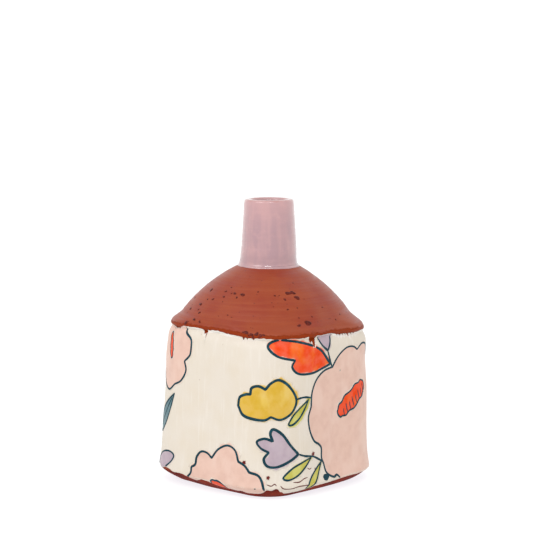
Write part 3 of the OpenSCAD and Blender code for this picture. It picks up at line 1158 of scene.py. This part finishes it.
def hatched_stamen(base, tip, width, count):
    """A stamen with short strokes from its lower side towards its middle."""
    draw(stamen(base, tip, width), "orange", 0.95, lift=0.06, shift=(0.1, 0.1), spread=0.15, ragged=0.15)
    for i in range(count):
        start = 0.14 + 0.74 * i / (count - 1)
        end = 0.1 * (i % 2)
        line = np.array([(start, -0.44), (start + 0.02, -0.2), (start + 0.05, end)])
        stem(*placed(line, base, tip, width), width=0.65)


def draw_front():
    """The motifs on the side that faces the camera."""
    draw(petals((33, 54), [(36.5, 58.6), (41, 61.6), (45.5, 61.9), (49, 60.4)],
        [(53.5, 62.8), (60, 61.8), (65, 57)], [(71, 55), (76, 49), (76.5, 41), (74, 36)],
        [(78, 29), (77, 20), (71, 14)], [(69, 6), (62, 1), (52, -1), (44, 0.5), (38, 3.2)],
        [(35.5, 6.6), (33, 6.2), (29.5, 8.4), (28.2, 12.4)], [(26.6, 15.4), (26.4, 19.6), (24.6, 21.6)],
        [(21.4, 23.6), (18.6, 28.5), (17.6, 34), (19.2, 38.6)],
        [(19.6, 44.5), (22.4, 49.6), (27.2, 52.8)]), "pink", 1.05, shift=(0.5, 0))
    hatched_stamen((37.6, 32.6), (56, 45), 8.2, 8)
    orange_bud((31.5, 55.5), (-3.5, 62.5), 13, shift=(0.1, 0.6))
    draw(petals((28.5, 61.5), [(24.5, 64.5), (21.8, 69)], [(27, 71), (32, 70)], [(30, 65)]), "lilac", 1)
    stem((28.5, 61.5), (30.5, 58), (33, 53.5))
    draw(petals((-15.2, 39.5), [(-14.6, 43), (-11.8, 44.6), (-9.6, 44.9)],
        [(-9, 47.6), (-6, 48.6), (-3, 47.4)],
        [(-0.4, 50.2), (3.2, 51.4), (7.6, 48.4), (10.8, 42.6), (8.8, 37.4), (3.8, 34.6), (-0.6, 35.8)],
        [(-3.2, 34.4), (-8.2, 34.6), (-12.8, 35.9)]),
        "yellow", 1.3, shift=(0.5, 0.3), spread=0.65, ragged=0.4)
    stem((10.8, 42.8), (15, 43.2), (19.4, 42.4))
    green_leaf((17.4, 41.9), (7.6, 32), 3.4, shift=(0.5, 0), spread=0.95)
    draw(petals((12, 19.2), [(8.2, 23.4), (4.6, 28.2), (0.8, 30.6), (-0.6, 28.8), (0.4, 25.6)],
        [(-3, 26.6), (-6.2, 25.2), (-4.6, 22.6), (-1.2, 20.8)],
        [(-3.2, 17.8), (-1.6, 14.9), (2.6, 14.6), (8.2, 16.8)]), "lilac", 1.3, shift=(0.4, -0.6))
    stem((12, 19.2), (16, 17.8), (21, 16.8), (27.4, 13.6))
    green_leaf((19.6, 16.8), (5.4, 9.2), 4.4, shift=(0.5, 0.3), spread=0.3)
    green_leaf((26.4, 13.8), (17.2, 3.4), 3.6, shift=(0.3, 0.2), spread=0.3)
    draw(petals((-43, 4.6), [(-40.6, 7), (-40.2, 9.8)],
        [(-38.2, 11.2), (-37.6, 14.4), (-35.2, 17), (-31.8, 16.9), (-29.2, 15.2)],
        [(-25.6, 19.4), (-20.4, 21.8), (-16.2, 20.4), (-14.4, 16)], [(-11.4, 14.6), (-9.2, 12)],
        [(-5.6, 11), (-3.8, 8.6), (-2.6, 4.8), (-0.6, 0.5)], [(-12, -6), (-30, -6)]),
        "pink", 1.15, shift=(0.3, 0.2), spread=0.6, ragged=0.5)
    draw(blossom((-25, 3.7), (4.6, 2.3), 5, 0.14, -16, 4), "orange", 0.95, lift=0.06,
         shift=(0.1, 0.1), spread=0.1, ragged=0.15)
    draw(petals((-48.6, 69.5), [(-48.2, 66.4), (-44.2, 63.6), (-43.6, 60)], [(-43.9, 56.8), (-46.8, 54)],
        [(-46, 50), (-48.8, 45.6), (-53, 43.6)], [(-58, 40.8), (-64, 43.4), (-68, 47.6)],
        [(-75, 49), (-78, 56), (-74, 62.5)], [(-72, 68.6), (-62, 72.5), (-52, 72)]),
        "pink", 1, shift=(0.3, 0.1))
    plain_stamen((-59.5, 65.5), (-56.5, 54.5), 2.8)
    teal_leaf((-53, 39.5), (-68, 21.5), 7.5)
    stem((-54.6, 37.6), (-60.5, 30), (-66.5, 23.5), width=0.6)
    draw(petals((-66, 10), [(-61.6, 12.8), (-57, 14.2), (-53.4, 14.2), (-51.4, 12.8), (-53.2, 9.9),
        (-57.2, 6.9), (-60.8, 5.4)], [(-66.6, 6.4)]), "lilac", 0.9)
    paint_patch(lines, blossom((28.6, 6.9), (1.7, 0.9), 3, 0.2, 10, 6), 0.1, ragged=0.15, spread=0, cell=0.2)


def draw_back():
    """More motifs of the same kinds, on the other side."""
    draw(blossom((112, 47), (15, 12), 6, 0.17, 8, 33), "yellow", 1.2, spread=0.4, ragged=0.4)
    plain_stamen((106, 44), (117, 50), 3.6)
    stem((97.5, 44), (90, 41), (84, 35), (80, 28))
    green_leaf((90, 41), (80, 51), 4.4)
    orange_bud((103, 22), (128, 15), 12)
    stem((103, 22), (97, 20), (92, 12), (91, 5))
    green_leaf((94.5, 17), (82, 12), 4.2)
    draw(placed(TULIP, (92, 60), (80, 66), 9), "lilac", 1)
    stem((92, 60), (96, 56), (99, 51))
    draw(blossom((-104, 20), (22, 17), 7, 0.15, -10, 41), "pink", 1.15)
    hatched_stamen((-110, 14), (-97, 24), 5.4, 6)
    teal_leaf((-122, 44), (-129, 55), 5)
    orange_bud((-93, 52), (-116, 60), 12)
    stem((-93, 52), (-89, 48), (-86, 41), (-84.5, 33.5))
    green_leaf((-87.5, 45.5), (-96, 39.5), 4.2)
    draw(placed(TULIP, (131, 31), (140, 37), 9), "lilac", 1)
    stem((131, 31), (128, 28), (122, 28), (117, 31))


draw_front()
draw_back()
for name, shape in washes.items():
    shape.build("wash_" + name, WASH_PAINT[name], "underglaze_" + name, "wash")
lines.build("drawn_lines", DRAWN_LINE, "underglaze_teal")


# ---- specks, chips and cracks

# Large specks, as (degrees from the front corner, height, size).
SPECKS = ((24.5, 74, 1), (17.4, 73.4, 0.55), (16.8, 85.9, 0.75), (21.4, 86, 0.85), (23.6, 84, 0.7),
          (12.2, 83.6, 0.5), (-25.6, 85.2, 0.75), (-34.4, 85.5, 0.5), (-30.4, 84, 0.45), (-11.4, 86.5, 0.35),
          (-44.6, 83.8, 0.42), (-46, 85.9, 0.42), (-16.8, 70.4, 0.65), (-13.4, 69.9, 0.6), (-10.2, 70.3, 0.6),
          (-7.8, 69.8, 0.5), (-8.9, 68.9, 0.4), (-12.4, 68.8, 0.45), (-18.6, 70.4, 0.3), (-6, 70, 0.35),
          (-14.8, 69.1, 0.35), (30, 76.3, 0.3), (44.8, 79.3, 0.35), (-65.5, 79.8, 0.62), (-60.3, 76.2, 0.55),
          (-61.5, 72.6, 0.45), (-56, 71.8, 0.4), (-67, 85.7, 0.7), (-55, 82.4, 0.45), (-75, 77.1, 0.5),
          (-67.5, 70.4, 0.75))
SMALL_SPECKS = 70
SPECK_SEED = 7
BEAD_ROWS = 7
BEAD_COLUMNS = 16
BEAD_H = 0.18
# Chips, as (along, height, half width, half height, seed).
CHIPS = ((20.8, 18, 1.2, 1, 1), (-11.6, 15.9, 1.1, 0.9, 2), (-1.2, 10.1, 0.9, 0.8, 3),
         (-6.4, 5.2, 0.5, 0.5, 4), (38, 52, 0.35, 0.3, 5), (70, 8, 1.1, 0.6, 6), (-88, 7, 1.2, 0.5, 7),
         (125, 60, 0.8, 0.5, 8), (-75, 34, 0.4, 0.3, 9), (22, 11.4, 0.5, 0.3, 10))
CRACK_WIDTH = 0.5
# Cracks, as (along, height) points.
CRACKS = (((9.6, 7.6), (12.5, 7.4), (15, 8.4), (17, 8.6)),
          ((4, 6.6), (5.6, 5.2), (9, 4.9), (12.5, 5.6), (18, 5.4)),
          ((-1.6, 7.2), (0.2, 6.6), (1.6, 7.4), (2.4, 6.6)),
          ((17, 12.6), (18.4, 11.8), (19.6, 12.2)),
          ((92, 5.2), (96, 6), (99, 5.4)))


def on_shoulder(turn, z):
    """A point of the shoulder's outside."""
    corner, side = [np.interp(z, SHOULDER_LINE[:, 2], SHOULDER_LINE[:, part]) for part in (0, 1)]
    return hand_made(ring_points(turn, soft_square(corner, side, turn), z))


def add_speck(shape, turn, z, size, rng):
    """Adds one flat bead, half sunk in the shoulder."""
    centre = on_shoulder(turn, z)
    across = on_shoulder(turn + 0.02, z) - on_shoulder(turn - 0.02, z)
    up = on_shoulder(turn, z + 0.4) - on_shoulder(turn, z - 0.4)
    across /= np.linalg.norm(across)
    out = np.cross(across, up)
    out /= np.linalg.norm(out)
    up = np.cross(out, across)
    wide = rng.uniform(1.0, 1.5)
    bead = around(BEAD_COLUMNS)
    ragged = 1 + 0.18 * np.sin(2 * bead + rng.uniform(0, 6))
    ragged = ragged + 0.12 * np.sin(3 * bead + rng.uniform(0, 6))
    points = []
    for tip in np.linspace(-1.45, 1.45, BEAD_ROWS):
        reach = size * math.cos(tip) * ragged
        ring = centre + np.outer(wide * reach * np.cos(bead), across)
        ring = ring + np.outer(reach * np.sin(bead), up)
        points.append(ring + out * (min(BEAD_H, size / 4) * math.sin(tip)))
    faces = strip_faces(BEAD_ROWS, BEAD_COLUMNS, False) + end_faces(BEAD_ROWS, BEAD_COLUMNS)
    shape.add(np.vstack(points), faces)


def make_specks():
    """The large iron specks, and small ones scattered over the rest of the shoulder."""
    rng = np.random.default_rng(SPECK_SEED)
    shape = Shape()
    for degrees, z, size in SPECKS:
        add_speck(shape, FRONT + math.radians(degrees), z, size * rng.uniform(1.1, 1.4), rng)
    for _ in range(SMALL_SPECKS):
        size = 0.2 + 0.3 * rng.random() ** 2.5
        add_speck(shape, rng.uniform(0, 2 * math.pi), rng.uniform(DRUM_H + 3, SEAT_Z - 4), size, rng)
    shape.build("iron_specks", SPECK, "iron_speck")


def make_chips():
    """Small chips through the slip to the clay, and fine cracks near the foot."""
    chips, cracks = Shape(), Shape()
    for along, z, wide, high, seed in CHIPS:
        outline = blossom((along, z), (wide, high), 5, 0.35, 25 * seed, CHIP_SEED + seed)
        paint_patch(chips, outline, 0.07, spread=0, ragged=0.12, soft=0.08, cell=0.16)
    for number, points in enumerate(CRACKS):
        draw_line(cracks, stroke(*points), CRACK_WIDTH, CRACK_SEED + number, lift=0.02)
    chips.build("slip_chips", WASH_PAINT["chip"], "terracotta", "wash")
    cracks.build("slip_cracks", WASH_PAINT["crack"], "terracotta", "wash")


make_specks()
make_chips()


# ---- stage, light and camera

CAMERA_SWING = 3.4
CAMERA_SIDE = 1.3
CAMERA_AWAY = 796.0
CAMERA_HEIGHT = 187.3
CAMERA_PITCH = 6.65
CAMERA_LENS = 122.52
FLOOR_REACH = 4.0
FLOOR_COLOUR = (0.26, 0.27, 0.22)
FLOOR_GLOW = (0.8, 0.79, 0.84)
SKY_STRENGTH = 1.06
# Lamps, as (name, place in metres, width, height, watts).
LAMPS = (("key", (-0.9, -0.7, 1.0), 0.7, 0.7, 5.0), ("glint", (-0.03, -1.0, 0.9), 0.6, 0.05, 3.2))


def add_stage():
    """A plain white floor under the vase."""
    paint = Paint("white_floor", 0.75, specular=0.2)
    paint.put(paint.shader, {"Base Color": FLOOR_COLOUR, "Emission Color": FLOOR_GLOW,
                             "Emission Strength": 1.0})
    mesh = bpy.data.meshes.new("floor")
    corners = [(FLOOR_REACH * x, FLOOR_REACH * y, 0) for x, y in ((-1, -1), (1, -1), (1, 1), (-1, 1))]
    mesh.from_pydata(corners, [], [(0, 1, 2, 3)])
    mesh.materials.append(paint.material)
    floor = linked("floor", mesh)


def add_light(name, place, width, height, power):
    """A soft lamp that faces the middle of the vase."""
    lamp = bpy.data.lights.new(name, "AREA")
    lamp.shape = "RECTANGLE"
    lamp.size = width
    lamp.size_y = height
    lamp.energy = power
    light = linked(name, lamp)
    light.location = place
    aim = Vector((0, 0, VASE_H * MM / 2)) - light.location
    light.rotation_euler = aim.to_track_quat("-Z", "Y").to_euler()


def add_lights():
    """An even white sky, a soft key lamp and a narrow lamp for the glaze's glint."""
    world = bpy.data.worlds.new("studio")
    world.use_nodes = True
    background = world.node_tree.nodes["Background"]
    background.inputs["Color"].default_value = (1, 1, 1, 1)
    background.inputs["Strength"].default_value = SKY_STRENGTH
    bpy.context.scene.world = world
    for lamp in LAMPS:
        add_light(*lamp)


def add_camera():
    """Stands a little to the left of the front soft corner and looks slightly down."""
    camera_data = bpy.data.cameras.new("camera")
    camera_data.sensor_width = 36
    camera_data.lens = CAMERA_LENS
    camera_data.clip_start = 0.01
    camera = linked("camera", camera_data)
    swing = math.radians(CAMERA_SWING)
    camera.location = ((CAMERA_SIDE * math.cos(swing) - CAMERA_AWAY * math.sin(swing)) * MM,
                       (-CAMERA_SIDE * math.sin(swing) - CAMERA_AWAY * math.cos(swing)) * MM,
                       CAMERA_HEIGHT * MM)
    camera.rotation_euler = (math.pi / 2 - math.radians(CAMERA_PITCH), 0, -swing)
    bpy.context.scene.camera = camera


add_stage()
add_lights()
add_camera()
bpy.context.scene.view_settings.view_transform = "Standard"
